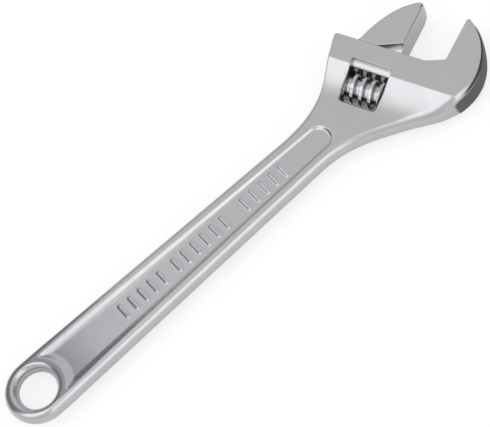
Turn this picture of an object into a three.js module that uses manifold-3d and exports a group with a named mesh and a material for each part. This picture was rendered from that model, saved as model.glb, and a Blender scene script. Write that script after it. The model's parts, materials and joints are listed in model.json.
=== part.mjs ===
// Adjustable wrench, 300 mm class: a forged body with the fixed jaw, a sliding movable jaw with a
// rack on its round rail, the adjusting worm, the pin that the worm turns on, and the worm's spring.
// Millimetres, +Z up. The wrench lies flat on the faces of its head, with its handle along X.
import * as THREE from "three";
import { mergeVertices } from "three/addons/utils/BufferGeometryUtils.js";
import Module from "manifold-3d";

const wasm = await Module();
wasm.setup();

const { degToRad } = THREE.MathUtils;

// ---------------------------------------------------------------- driving dimensions

// The plan is drawn from the centre of the hang hole, with X along the handle towards the head.
const HEAD_THICKNESS = 17;
const HANDLE_THICKNESS = 9.5;
const MID_Z = HEAD_THICKNESS / 2;

const END_RADIUS = 17.3;
const FRONT_TAPER = degToRad(1.6);
const BACK_TAPER = degToRad(1.25);
const WAIST_X = 178;
const BACK_WAIST_X = 170;
const HANG_HOLE_RADIUS = 10;
const HANG_HOLE_CHAMFER = 1;

const PANEL_DEPTH = 1.6;
const PANEL_RING_RADIUS = 15.8;
const PANEL_END_X = 194.5;
const PANEL_HALF_WIDTH = 12.8;
const PANEL_TAPER = degToRad(1.8);
const PANEL_NOSE_RADIUS = 6.2;

// Raised ribs that cross the panel in three groups: the X of the first rib, and how many there are.
const RIB_GROUPS = [[57, 5], [92, 6], [138, 5]];
const RIB_PITCH = 6.4;
const RIB_LENGTH = 9;
const RIB_WIDTH = 2.2;
const RIB_HEIGHT = 0.6;

// Head frame: its origin is on the axis of the worm, x is the way that the movable jaw closes, and
// y is the way that the jaws point, which is the jaw angle away from the handle.
const HEAD_X = 222.9;
const HEAD_Y = 4.9;
const JAW_ANGLE = degToRad(22.5);
const HEAD_TURN = JAW_ANGLE - Math.PI / 2;

const TOP_EDGE_Y = 23.3;
const CREASE_Y = 8.9;
const SCOOP_LENGTH = 22;
const THROAT_X = 24.5;
const FIXED_FACE_X = 34.3;
const RAMP_RISE = 4;
const FIXED_TIP_Y = 53.8;
const JAW_THINNING = 0.9;

const JAW_OPENING = 25;
const BLADE_THICKNESS = 15.6;
const BLADE_THINNING = 0.4;
const BLADE_BASE_Y = TOP_EDGE_Y + 0.3;
const BLADE_TOP_Y = 55.2;
const BLADE_BACK_X = -13.9;
const BEVEL_START_X = -2.8;
const BEVEL_RISE = 5.4;
const MOVABLE_FACE_X = FIXED_FACE_X - JAW_OPENING;

const RAIL_Y = 12.7;
const RAIL_RADIUS = 6.3;
const RAIL_LEFT_X = -22.6;
const RAIL_RIGHT_X = MOVABLE_FACE_X + 4;
const RAIL_BORE_END_X = FIXED_FACE_X + 6;
const NECK_THICKNESS = 7.8;
const SLIDING_GAP = 0.3;

const THREAD_PITCH = 5.1;
const WORM_RADIUS = 8.3;
const WORM_ROOT_RADIUS = 5.6;
const WORM_LEFT_X = -8.9;
const WORM_RIGHT_X = 10.8;
const THREAD_CREST = 2;
const THREAD_BASE = 3.1;
const RACK_DEPTH = 2.7;
const RACK_GROOVE_MOUTH = 3.9;
const RACK_GROOVE_FLOOR = 2.6;
const THREAD_PHASE_X = -1;
const LEAD_ANGLE = Math.atan(THREAD_PITCH / (2 * Math.PI * WORM_RADIUS));

const WINDOW_TOP_LEFT_X = -11.5;
const WINDOW_BOTTOM_LEFT_X = -8.9;
const WINDOW_RIGHT_X = 11.2;
const WINDOW_BOTTOM_Y = -10.5;
const WINDOW_TOP_Y = 12.7;
const WINDOW_CORNER = 2;

const PIN_RADIUS = 2.4;
const PIN_LEFT_X = -19;
const PIN_RIGHT_X = 17.5;
const PIN_HEAD_RADIUS = 3.4;
const PIN_HEAD_LENGTH = 3;
const PIN_SLOT_WIDTH = 1;
const PIN_SLOT_DEPTH = 1.2;

const SPRING_POCKET_RADIUS = 4.3;
const SPRING_POCKET_DEPTH = 4.6;
const SPRING_WIRE_RADIUS = 0.35;
const SPRING_COIL_RADIUS = 3.4;
const SPRING_TURNS = 3.5;

// The middle of the plan's extent, which becomes the origin of the frame.
const FRAME_X = 134.37;
const FRAME_Y = -0.12;

const CUT = 100;
const ARC_STEPS = 48;

// ---------------------------------------------------------------- solids and booleans

function solid(geometry) {
  const bare = geometry.clone();
  bare.deleteAttribute("normal");
  bare.deleteAttribute("uv");
  const merged = mergeVertices(bare, 1e-4);
  return new wasm.Manifold(new wasm.Mesh({
    numProp: 3,
    vertProperties: new Float32Array(merged.attributes.position.array),
    triVerts: new Uint32Array(merged.index.array),
  }));
}

function toGeometry(manifold) {
  const { vertProperties, triVerts } = manifold.getMesh();
  const geometry = new THREE.BufferGeometry();
  geometry.setAttribute("position", new THREE.BufferAttribute(vertProperties, 3));
  geometry.setIndex(new THREE.BufferAttribute(triVerts, 1));
  geometry.computeVertexNormals();
  return geometry;
}

function cut(body, ...tools) {
  return tools.reduce((left, tool) => left.subtract(tool), body);
}

function join(...pieces) {
  return pieces.reduce((sum, piece) => sum.add(piece));
}

// A plate with the outline of a shape drawn in x and y, between two heights.
function plate(shape, bottom, top, curveSegments = 12) {
  const geometry = new THREE.ExtrudeGeometry(shape, {
    depth: top - bottom, bevelEnabled: false, curveSegments,
  });
  return geometry.translate(0, 0, bottom);
}

function box(x0, x1, y0, y1, z0, z1) {
  const geometry = new THREE.BoxGeometry(x1 - x0, y1 - y0, z1 - z0);
  return geometry.translate((x0 + x1) / 2, (y0 + y1) / 2, (z0 + z1) / 2);
}

// A round body along the head frame's x, from a profile of [x, radius] points.
function turned(profile, y, segments = ARC_STEPS) {
  const points = profile.map(([x, radius]) => new THREE.Vector2(radius, x));
  const geometry = new THREE.LatheGeometry(points, segments);
  return geometry.rotateZ(-Math.PI / 2).scale(1, -1, -1).translate(0, y, MID_Z);
}

// A prism along the head frame's x, whose section is drawn in y and z.
function sidePrism(points) {
  const shape = new THREE.Shape(points.map(([y, z]) => new THREE.Vector2(y, z)));
  const geometry = new THREE.ExtrudeGeometry(shape, { depth: 2 * CUT, bevelEnabled: false });
  geometry.translate(0, 0, -CUT);
  return geometry.applyMatrix4(new THREE.Matrix4().set(
    0, 0, 1, 0,
    1, 0, 0, 0,
    0, 1, 0, 0,
    0, 0, 0, 1,
  ));
}

function inPlan(geometry) {
  return geometry.rotateZ(HEAD_TURN).translate(HEAD_X, HEAD_Y, 0);
}

// A point of the head frame, in the plan.
function headPoint(x, y) {
  return new THREE.Vector2(x, y)
    .rotateAround(new THREE.Vector2(0, 0), HEAD_TURN)
    .add(new THREE.Vector2(HEAD_X, HEAD_Y));
}

// ---------------------------------------------------------------- wrench body

// Half of the handle's width at x, on the side with this taper.
function handleEdge(x, taper) {
  return END_RADIUS / Math.cos(taper) - x * Math.tan(taper);
}

function bodyOutline() {
  const shape = new THREE.Shape();
  const waist = handleEdge(WAIST_X, FRONT_TAPER);
  const backWaist = handleEdge(BACK_WAIST_X, BACK_TAPER);
  const fixedTip = headPoint(FIXED_FACE_X + 0.8, FIXED_TIP_Y);
  const tipCorner = headPoint(FIXED_FACE_X, FIXED_TIP_Y - 1.2);
  const corner = headPoint(-27, TOP_EDGE_Y);
  const cornerIn = headPoint(-25, TOP_EDGE_Y);
  const rampEnd = headPoint(FIXED_FACE_X, TOP_EDGE_Y + RAMP_RISE);
  const throat = headPoint(THROAT_X, TOP_EDGE_Y);

  shape.moveTo(WAIST_X, -waist);
  shape.bezierCurveTo(193, -11.9, 204, -16.2, 221.5, -25.8);
  shape.bezierCurveTo(236.5, -34.1, 238, -38.1, 254, -38.1);
  shape.bezierCurveTo(271, -38.1, 287, -22.5, fixedTip.x, fixedTip.y);
  shape.lineTo(tipCorner.x, tipCorner.y);
  shape.lineTo(rampEnd.x, rampEnd.y);
  shape.lineTo(throat.x, throat.y);
  shape.lineTo(cornerIn.x, cornerIn.y);
  shape.quadraticCurveTo(corner.x, corner.y, 230.5, 37);
  shape.lineTo(214.6, 25.9);
  shape.bezierCurveTo(203, 17.2, 189, 12.8, BACK_WAIST_X, backWaist);
  shape.absarc(0, 0, END_RADIUS, Math.PI / 2 - BACK_TAPER, -Math.PI / 2 + FRONT_TAPER, false);
  shape.closePath();
  return shape;
}

// The side profile: flat faces at the head that thin towards the jaw tip, a hollow scoop from the
// crease down to the handle, and the flat handle.
function bodyProfile() {
  const drop = (HEAD_THICKNESS - HANDLE_THICKNESS) / 2;
  const slope = 2 * Math.atan(drop / SCOOP_LENGTH);
  const radius = SCOOP_LENGTH / Math.sin(slope);
  const steps = 8;
  const half = [[-3 * CUT, HANDLE_THICKNESS / 2]];
  for (let i = 0; i <= steps; i += 1) {
    const angle = (slope * i) / steps;
    const y = CREASE_Y - SCOOP_LENGTH + radius * Math.sin(angle);
    half.push([y, HANDLE_THICKNESS / 2 + radius * (1 - Math.cos(angle))]);
  }
  half.push([TOP_EDGE_Y + RAMP_RISE, MID_Z]);
  half.push([FIXED_TIP_Y + 1, MID_Z - JAW_THINNING]);
  const lower = half.map(([y, z]) => [y, MID_Z - z]);
  const upper = half.map(([y, z]) => [y, MID_Z + z]).reverse();
  return sidePrism([...lower, ...upper]);
}

function hangHole() {
  const radius = HANG_HOLE_RADIUS;
  const half = HANDLE_THICKNESS / 2;
  const flare = radius + 2 * HANG_HOLE_CHAMFER;
  const profile = [
    [0, -half - HANG_HOLE_CHAMFER],
    [flare, -half - HANG_HOLE_CHAMFER],
    [radius, -half + HANG_HOLE_CHAMFER],
    [radius, half - HANG_HOLE_CHAMFER],
    [flare, half + HANG_HOLE_CHAMFER],
    [0, half + HANG_HOLE_CHAMFER],
  ];
  const points = profile.map(([x, y]) => new THREE.Vector2(x, y));
  return new THREE.LatheGeometry(points, ARC_STEPS).rotateX(Math.PI / 2).translate(0, 0, MID_Z);
}

// The recess in each face of the handle, concentric with the hang hole at one end and round at the
// other.
function panelOutline() {
  const shape = new THREE.Shape();
  const nose = PANEL_END_X - PANEL_NOSE_RADIUS;
  const spread = Math.asin((PANEL_HALF_WIDTH - 1) / PANEL_RING_RADIUS);
  const startX = PANEL_RING_RADIUS * Math.cos(spread);
  const startY = PANEL_RING_RADIUS * Math.sin(spread);
  const edge = (x) => PANEL_HALF_WIDTH - x * Math.tan(PANEL_TAPER);
  shape.moveTo(startX, -startY);
  shape.quadraticCurveTo(startX + 0.5, -edge(startX), startX + 3, -edge(startX + 3));
  shape.lineTo(nose, -edge(nose));
  shape.absellipse(nose, 0, PANEL_NOSE_RADIUS, edge(nose), -Math.PI / 2, Math.PI / 2, false);
  shape.lineTo(startX + 3, edge(startX + 3));
  shape.quadraticCurveTo(startX + 0.5, edge(startX), startX, startY);
  shape.absarc(0, 0, PANEL_RING_RADIUS, spread, -spread, true);
  return shape;
}

function panelFloor(side) {
  return MID_Z + side * (HANDLE_THICKNESS / 2 - PANEL_DEPTH);
}

function panelRecess(side) {
  const floor = panelFloor(side);
  const outside = MID_Z + side * (HANDLE_THICKNESS / 2 + 2);
  return plate(panelOutline(), Math.min(floor, outside), Math.max(floor, outside));
}

function panelRibs(side) {
  const floor = panelFloor(side);
  const bottom = Math.min(floor - side, floor + side * RIB_HEIGHT);
  const top = Math.max(floor - side, floor + side * RIB_HEIGHT);
  return RIB_GROUPS.flatMap(([firstX, count]) => Array.from({ length: count }, (_, i) => {
    const x = firstX + i * RIB_PITCH;
    return box(x - RIB_WIDTH / 2, x + RIB_WIDTH / 2, -RIB_LENGTH / 2, RIB_LENGTH / 2, bottom, top);
  }));
}

function wormWindow() {
  const left = WINDOW_BOTTOM_LEFT_X;
  const right = WINDOW_RIGHT_X;
  const corner = WINDOW_CORNER;
  const shape = new THREE.Shape();
  shape.moveTo(WINDOW_TOP_LEFT_X, WINDOW_TOP_Y);
  shape.lineTo(left, WINDOW_BOTTOM_Y + corner);
  shape.quadraticCurveTo(left, WINDOW_BOTTOM_Y, left + corner, WINDOW_BOTTOM_Y);
  shape.lineTo(right - corner, WINDOW_BOTTOM_Y);
  shape.quadraticCurveTo(right, WINDOW_BOTTOM_Y, right, WINDOW_BOTTOM_Y + corner);
  shape.lineTo(right, WINDOW_TOP_Y);
  return plate(shape, -CUT, CUT, 4);
}

function rod(x0, x1, radius, y, segments = ARC_STEPS) {
  return turned([[x0, 0], [x0, radius], [x1, radius], [x1, 0]], y, segments);
}

function wrenchBody() {
  const blank = solid(plate(bodyOutline(), 0, HEAD_THICKNESS, 16));
  const profile = solid(inPlan(bodyProfile()));
  const slotHalf = NECK_THICKNESS / 2 + SLIDING_GAP;
  const slot = box(
    -CUT, FIXED_FACE_X + 0.4, RAIL_Y, BLADE_BASE_Y + BEVEL_RISE, MID_Z - slotHalf, MID_Z + slotHalf,
  );
  const railBore = rod(-CUT, RAIL_BORE_END_X, RAIL_RADIUS + SLIDING_GAP, RAIL_Y);
  const pinHole = rod(-CUT, PIN_RIGHT_X + 0.5, PIN_RADIUS + SLIDING_GAP, 0, 24);
  const pinHeadHole = rod(
    -CUT, PIN_LEFT_X + PIN_HEAD_LENGTH + SLIDING_GAP, PIN_HEAD_RADIUS + SLIDING_GAP, 0, 24,
  );
  const headTools = [slot, railBore, pinHole, pinHeadHole, wormWindow()];
  const recessed = cut(
    blank.intersect(profile),
    ...headTools.map((tool) => solid(inPlan(tool))),
    ...[-1, 1].map((side) => solid(panelRecess(side))),
    solid(hangHole()),
  );
  const ribs = [-1, 1].flatMap((side) => panelRibs(side)).map(solid);
  return toGeometry(join(recessed, ...ribs));
}

// ---------------------------------------------------------------- movable jaw

function bladeOutline() {
  const face = MOVABLE_FACE_X;
  const top = BLADE_TOP_Y;
  const shape = new THREE.Shape();
  shape.moveTo(BLADE_BACK_X, BLADE_BASE_Y);
  shape.lineTo(BEVEL_START_X, BLADE_BASE_Y);
  shape.lineTo(face, BLADE_BASE_Y + BEVEL_RISE);
  shape.lineTo(face, top - 1.6);
  shape.quadraticCurveTo(face, top + 0.2, face - 2.4, top - 0.1);
  shape.bezierCurveTo(-2.8, 50.5, -10.4, 37.6, BLADE_BACK_X, BLADE_BASE_Y);
  return shape;
}

function bladeProfile() {
  const half = BLADE_THICKNESS / 2;
  const points = [
    [BLADE_BASE_Y - 1, half], [BLADE_BASE_Y + BEVEL_RISE, half], [BLADE_TOP_Y + 1, half - BLADE_THINNING],
  ];
  const lower = points.map(([y, z]) => [y, MID_Z - z]);
  const upper = points.map(([y, z]) => [y, MID_Z + z]).reverse();
  return sidePrism([...lower, ...upper]);
}

// One groove of the rack: a straight trapezoid across the rail, turned by the thread's lead angle.
function rackGroove(x) {
  const railBottom = -RAIL_RADIUS;
  const wide = RACK_GROOVE_MOUTH / 2;
  const narrow = RACK_GROOVE_FLOOR / 2;
  const spread = (wide - narrow) / RACK_DEPTH;
  const shape = new THREE.Shape([
    new THREE.Vector2(-wide - spread, railBottom - 1),
    new THREE.Vector2(wide + spread, railBottom - 1),
    new THREE.Vector2(narrow, railBottom + RACK_DEPTH),
    new THREE.Vector2(-narrow, railBottom + RACK_DEPTH),
  ]);
  const geometry = plate(shape, -2 * RAIL_RADIUS, 2 * RAIL_RADIUS);
  return geometry.rotateY(LEAD_ANGLE).translate(x, RAIL_Y, MID_Z);
}

function movableJaw() {
  const blade = solid(plate(bladeOutline(), 0, HEAD_THICKNESS, 16)).intersect(solid(bladeProfile()));
  const neckHalf = NECK_THICKNESS / 2;
  const neck = box(
    BLADE_BACK_X + 0.6, MOVABLE_FACE_X, RAIL_Y, BLADE_BASE_Y + BEVEL_RISE + 1,
    MID_Z - neckHalf, MID_Z + neckHalf,
  );
  const rail = rod(RAIL_LEFT_X, RAIL_RIGHT_X, RAIL_RADIUS, RAIL_Y);
  const first = Math.ceil((RAIL_LEFT_X - RACK_GROOVE_MOUTH) / THREAD_PITCH);
  const last = Math.floor((RAIL_RIGHT_X + RACK_GROOVE_MOUTH) / THREAD_PITCH);
  const grooves = [];
  for (let i = first; i <= last; i += 1) {
    grooves.push(solid(rackGroove(THREAD_PHASE_X + i * THREAD_PITCH)));
  }
  return toGeometry(join(blade, solid(neck), cut(solid(rail), ...grooves)));
}

// ---------------------------------------------------------------- adjusting worm

// A right-hand helix about the head frame's x that crosses +y at x = 0, with radial frames, so
// that a section swept along it keeps facing the axis.
class Helix extends THREE.Curve {
  constructor(radius, pitch, turns) {
    super();
    Object.assign(this, { radius, pitch, turns });
  }

  angle(t) {
    return (t - 0.5) * this.turns * 2 * Math.PI;
  }

  getPoint(t, target = new THREE.Vector3()) {
    const angle = this.angle(t);
    return target.set(
      (this.pitch * angle) / (2 * Math.PI),
      this.radius * Math.cos(angle),
      this.radius * Math.sin(angle),
    );
  }

  getPointAt(t, target) {
    return this.getPoint(t, target);
  }

  computeFrenetFrames(segments) {
    const tangents = [];
    const normals = [];
    const binormals = [];
    for (let i = 0; i <= segments; i += 1) {
      const angle = this.angle(i / segments);
      const outward = new THREE.Vector3(0, Math.cos(angle), Math.sin(angle));
      const around = new THREE.Vector3(0, -Math.sin(angle), Math.cos(angle));
      normals.push(outward);
      tangents.push(around);
      binormals.push(new THREE.Vector3().crossVectors(around, outward));
    }
    return { tangents, normals, binormals };
  }
}

function swept(shape, path, steps) {
  return new THREE.ExtrudeGeometry(shape, { steps, extrudePath: path, bevelEnabled: false });
}

function adjustingWorm() {
  const sink = 0.6;
  const slope = (THREAD_BASE - THREAD_CREST) / 2 / (WORM_RADIUS - WORM_ROOT_RADIUS);
  const buried = THREAD_BASE / 2 + slope * sink;
  const section = new THREE.Shape([
    new THREE.Vector2(-sink, -buried),
    new THREE.Vector2(WORM_RADIUS - WORM_ROOT_RADIUS, -THREAD_CREST / 2),
    new THREE.Vector2(WORM_RADIUS - WORM_ROOT_RADIUS, THREAD_CREST / 2),
    new THREE.Vector2(-sink, buried),
  ]);
  const turns = 2 * Math.ceil((WORM_RIGHT_X + THREAD_BASE) / THREAD_PITCH);
  const path = new Helix(WORM_ROOT_RADIUS, THREAD_PITCH, turns);
  const thread = swept(section, path, turns * 28).translate(THREAD_PHASE_X, 0, MID_Z);
  const core = solid(rod(WORM_LEFT_X, WORM_RIGHT_X, WORM_ROOT_RADIUS, 0, 28));
  const envelope = solid(rod(WORM_LEFT_X, WORM_RIGHT_X, WORM_RADIUS + 1, 0, 28));
  const pinBore = solid(rod(-CUT, CUT, PIN_RADIUS + SLIDING_GAP, 0, 24));
  const pocket = solid(rod(-CUT, WORM_LEFT_X + SPRING_POCKET_DEPTH, SPRING_POCKET_RADIUS, 0, 24));
  return toGeometry(cut(join(core, solid(thread)).intersect(envelope), pinBore, pocket));
}

// ---------------------------------------------------------------- worm pin and worm spring

function wormPin() {
  const shank = turned([
    [PIN_LEFT_X, 0],
    [PIN_LEFT_X, PIN_HEAD_RADIUS],
    [PIN_LEFT_X + PIN_HEAD_LENGTH, PIN_HEAD_RADIUS],
    [PIN_LEFT_X + PIN_HEAD_LENGTH, PIN_RADIUS],
    [PIN_RIGHT_X - 0.8, PIN_RADIUS],
    [PIN_RIGHT_X, PIN_RADIUS - 0.8],
    [PIN_RIGHT_X, 0],
  ], 0, 24);
  const driverSlot = box(
    PIN_LEFT_X - 1, PIN_LEFT_X + PIN_SLOT_DEPTH, -CUT, CUT,
    MID_Z - PIN_SLOT_WIDTH / 2, MID_Z + PIN_SLOT_WIDTH / 2,
  );
  return toGeometry(cut(solid(shank), solid(driverSlot)));
}

function wormSpring() {
  const left = WORM_LEFT_X - 0.6 + SPRING_WIRE_RADIUS;
  const right = WORM_LEFT_X + SPRING_POCKET_DEPTH - SLIDING_GAP - SPRING_WIRE_RADIUS;
  const pitch = (right - left) / SPRING_TURNS;
  const wire = new THREE.Shape().absarc(0, 0, SPRING_WIRE_RADIUS, 0, 2 * Math.PI, false);
  const path = new Helix(SPRING_COIL_RADIUS, pitch, SPRING_TURNS);
  const geometry = new THREE.ExtrudeGeometry(wire, {
    steps: Math.round(SPRING_TURNS * 20), extrudePath: path, bevelEnabled: false, curveSegments: 4,
  });
  return toGeometry(solid(geometry.translate((left + right) / 2, 0, MID_Z)));
}

// ---------------------------------------------------------------- assembly

const chrome = { color: 0xb9bbbe, metalness: 1, roughness: 0.28 };
const steel = { color: 0x8d8f92, metalness: 1, roughness: 0.4 };

function piece(name, geometry, finish) {
  const mesh = new THREE.Mesh(geometry, new THREE.MeshStandardMaterial({ ...finish, name }));
  mesh.name = name;
  return mesh;
}

const head = new THREE.Group();
head.position.set(HEAD_X, HEAD_Y, 0);
head.rotation.z = HEAD_TURN;
head.add(
  piece("movable_jaw", movableJaw(), chrome),
  piece("adjusting_worm", adjustingWorm(), chrome),
  piece("worm_pin", wormPin(), steel),
  piece("worm_spring", wormSpring(), steel),
);

const wrench = new THREE.Group();
wrench.add(piece("wrench_body", wrenchBody(), chrome), head);
wrench.position.set(-FRAME_X, -FRAME_Y, 0);

export default wrench;
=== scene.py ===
"""The looks of an adjustable wrench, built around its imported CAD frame.

The forged body, the movable jaw, the worm, its pin and its spring are fine meshes that stand for the
CAD nodes of the same parts. Meshes are drawn in millimetres and stored in metres.
"""
import json
import math

import bpy
import numpy as np
from mathutils import Matrix, Vector
from mathutils.geometry import delaunay_2d_cdt


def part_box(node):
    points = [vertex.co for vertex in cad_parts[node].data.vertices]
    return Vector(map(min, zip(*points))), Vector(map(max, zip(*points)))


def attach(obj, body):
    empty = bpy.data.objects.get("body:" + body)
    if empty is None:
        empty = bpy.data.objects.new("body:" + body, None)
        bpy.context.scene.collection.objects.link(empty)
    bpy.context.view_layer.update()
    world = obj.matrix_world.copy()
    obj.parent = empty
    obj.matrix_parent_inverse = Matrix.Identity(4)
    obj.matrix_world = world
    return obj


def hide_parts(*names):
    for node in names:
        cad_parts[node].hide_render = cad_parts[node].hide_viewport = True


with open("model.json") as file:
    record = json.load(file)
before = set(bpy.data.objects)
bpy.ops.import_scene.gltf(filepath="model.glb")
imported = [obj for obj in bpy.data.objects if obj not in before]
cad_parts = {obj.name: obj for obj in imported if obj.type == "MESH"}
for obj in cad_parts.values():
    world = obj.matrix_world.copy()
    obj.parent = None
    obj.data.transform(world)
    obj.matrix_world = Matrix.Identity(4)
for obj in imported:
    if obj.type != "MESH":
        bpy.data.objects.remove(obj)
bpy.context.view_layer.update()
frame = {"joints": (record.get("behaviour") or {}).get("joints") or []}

# ---------------------------------------------------------------- the frame, in millimetres

MM = 0.001
joints = {joint["name"]: joint for joint in frame["joints"]}
body_low, body_high = (np.array(corner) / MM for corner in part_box("wrench_body"))
blade_low, blade_high = (np.array(corner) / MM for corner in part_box("movable_jaw"))

# The head frame: its origin is on the worm's axis, x is the way that the jaw closes, and y is the way
# that the jaws point. The plan frame is the CAD's frame moved to the centre of the hang hole.
WORM_CENTRE = np.array(joints["worm_spin"]["pos_m"][:2]) / MM
CLOSING = -np.array(joints["jaw_slide"]["axis"][:2])
POINTING = np.array([-CLOSING[1], CLOSING[0]])
HOLE_TO_WORM = np.array([222.9, 4.9])
HOLE_CENTRE = WORM_CENTRE - HOLE_TO_WORM
MID_Z = (body_low[2] + body_high[2]) / 2

HEAD_HALF = (body_high[2] - body_low[2]) / 2
HANDLE_HALF = 4.75
BLADE_HALF = (blade_high[2] - blade_low[2]) / 2

# ---------------------------------------------------------------- driving dimensions, in millimetres

END_RADIUS = HOLE_CENTRE[0] - body_low[0]
FRONT_TAPER = math.radians(1.6)
BACK_TAPER = math.radians(1.25)
WAIST_X = 178
BACK_WAIST_X = 170
HANG_HOLE_RADIUS = 10
HANG_HOLE_LIP = 3.4
HANG_HOLE_LIP_DROP = 4.1
HANG_HOLE_CROWN = 0.3

PANEL_RING_RADIUS = 15.8
PANEL_END_X = 194.5
PANEL_HALF_WIDTH = 12.8
PANEL_TAPER = math.radians(1.8)
PANEL_NOSE_RADIUS = 6.2
PANEL_DEPTH_AT_HOLE = 1.9
PANEL_DEPTH_AT_NOSE = 0.9
PANEL_WALL_AT_HOLE = 5.4
PANEL_WALL_AT_NOSE = 2.6
PANEL_WALL_OUTSIDE = 0.5

RIB_GROUPS = [(57, 5), (92, 6), (138, 5)]
RIB_PITCH = 6.4
RIB_LENGTH = 9
RIB_WIDTH = 2.2
RIB_HEIGHT = 0.42
RIB_SHOULDER = 1.25

CREASE_Y = 8.9
CREASE_BLEND = 0.16
SCOOP_LENGTH = 22
TOP_EDGE_Y = 23.3
THROAT_X = 24.5
FIXED_FACE_X = 34.3
RAMP_RISE = 4
FIXED_TIP_Y = 53.8
JAW_THINNING = 0.9

# An edge is a part of an ellipse: its width is in the plan and its drop is below the face.
EDGE_ARC = 0.95
HANDLE_EDGE = 3.0
HANDLE_EDGE_DROP = 1.8
HOLE_END_EDGE = 3.7
HEAD_EDGE = 1.1
BLADE_EDGE = 1.0
MACHINED_EDGE = 0.35
# The width of the outer edge, from the handle past the head's corner to the jaw's tip, by the head's y.
OUTER_EDGE_Y = (-16, -10, 4, 20, 35, 53)
OUTER_EDGE = (3.0, 3.4, 5.2, 3.8, 2.2, 0.9)
HANDLE_CROWN = 0.7
HEAD_CROWN = 0.3

JAW_OPENING = 25
MOVABLE_FACE_X = FIXED_FACE_X - JAW_OPENING
BLADE_BASE_Y = TOP_EDGE_Y + 0.3
BLADE_TOP_Y = 55.2
BLADE_BACK_X = -13.9
BLADE_THINNING = 0.4
BEVEL_START_X = -2.8
BEVEL_RISE = 5.4
NECK_HALF = 3.9
SLIDING_GAP = 0.3

RAIL_Y = 12.7
RAIL_RADIUS = 6.3
RAIL_LEFT_X = -22.6
RAIL_RIGHT_X = MOVABLE_FACE_X + 4
RAIL_BORE_END_X = FIXED_FACE_X + 6

THREAD_PITCH = 5.1
THREAD_PHASE_X = -1
WORM_RADIUS = 8.3
WORM_ROOT_RADIUS = 5.6
WORM_LEFT_X = -8.9
WORM_RIGHT_X = 10.8
THREAD_CREST = 2
THREAD_BASE = 3.1
RACK_DEPTH = 2.7
RACK_GROOVE_MOUTH = 3.9
RACK_GROOVE_FLOOR = 2.6
LEAD_SLOPE = THREAD_PITCH / (2 * math.pi * WORM_RADIUS)
THREAD_ROUNDING = 0.22

WINDOW_TOP_LEFT_X = -11.5
WINDOW_BOTTOM_LEFT_X = -8.9
WINDOW_RIGHT_X = 11.2
WINDOW_BOTTOM_Y = -10.5
WINDOW_TOP_Y = 12.7
WINDOW_CORNER = 2

PIN_RADIUS = 2.4
PIN_LEFT_X = -19
PIN_RIGHT_X = 17.5
PIN_HEAD_RADIUS = 3.4
PIN_HEAD_LENGTH = 3
PIN_SLOT_WIDTH = 1
PIN_SLOT_DEPTH = 1.2
PIN_THREAD_PITCH = 0.8
PIN_THREAD_DEPTH = 0.22
PIN_THREAD_END_X = -11.5

SPRING_POCKET_RADIUS = 4.3
SPRING_POCKET_DEPTH = 4.6
SPRING_WIRE_RADIUS = 0.35
SPRING_COIL_RADIUS = 3.4
SPRING_TURNS = 3.5

# How far apart an outline's points are, and how far a cutting tool reaches past the part.
OUTLINE_STEP = 0.9
FAR = 100

# ---------------------------------------------------------------- curves in the plan


def plan(x, y):
    """A plan-frame place in the CAD's frame."""
    return HOLE_CENTRE + np.array([x, y])


def head(x, y):
    """A head-frame place in the CAD's frame."""
    return WORM_CENTRE + x * CLOSING + y * POINTING


def head_coordinates(points):
    """The head-frame x and y of points in the CAD's frame."""
    offset = points - WORM_CENTRE
    return offset @ CLOSING, offset @ POINTING


def curve(*controls, step=0.3):
    """Points of the Bezier curve of any degree with these control points."""
    controls = np.array(controls, float)
    length = np.linalg.norm(np.diff(controls, axis=0), axis=1).sum()
    t = np.linspace(0, 1, max(2, int(length / step)))[:, None]
    layers = [point + 0 * t for point in controls]
    while len(layers) > 1:
        layers = [a * (1 - t) + b * t for a, b in zip(layers, layers[1:])]
    return layers[0]


def arc(centre, radii, start, end, step=0.3):
    steps = max(8, int(abs(end - start) * max(radii) / step))
    angle = np.linspace(start, end, steps)
    return centre + np.column_stack([radii[0] * np.cos(angle), radii[1] * np.sin(angle)])


def resample(loop, step):
    """The same closed curve with points a constant distance apart."""
    closed = np.vstack([loop, loop[:1]])
    length = np.concatenate([[0], np.cumsum(np.linalg.norm(np.diff(closed, axis=0), axis=1))])
    places = np.linspace(0, length[-1], int(round(length[-1] / step)), endpoint=False)
    return np.column_stack([np.interp(places, length, closed[:, axis]) for axis in (0, 1)])


def closed_curve(*parts, softness=0.5, step=OUTLINE_STEP):
    """One closed curve from its parts, counterclockwise, with its corners rounded off a little."""
    fine_step = 0.1
    loop = resample(np.vstack(parts), fine_step)
    reach = int(softness / fine_step)
    for _ in range(2):
        loop = sum(np.roll(loop, shift, axis=0) for shift in range(-reach, reach + 1)) / (2 * reach + 1)
    return resample(loop, step)


def left_normals(loop):
    """Unit vectors to the left of the way that the closed curve runs, which is into its area."""
    along = np.roll(loop, -1, axis=0) - np.roll(loop, 1, axis=0)
    along /= np.linalg.norm(along, axis=1)[:, None]
    return np.column_stack([-along[:, 1], along[:, 0]])


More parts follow.
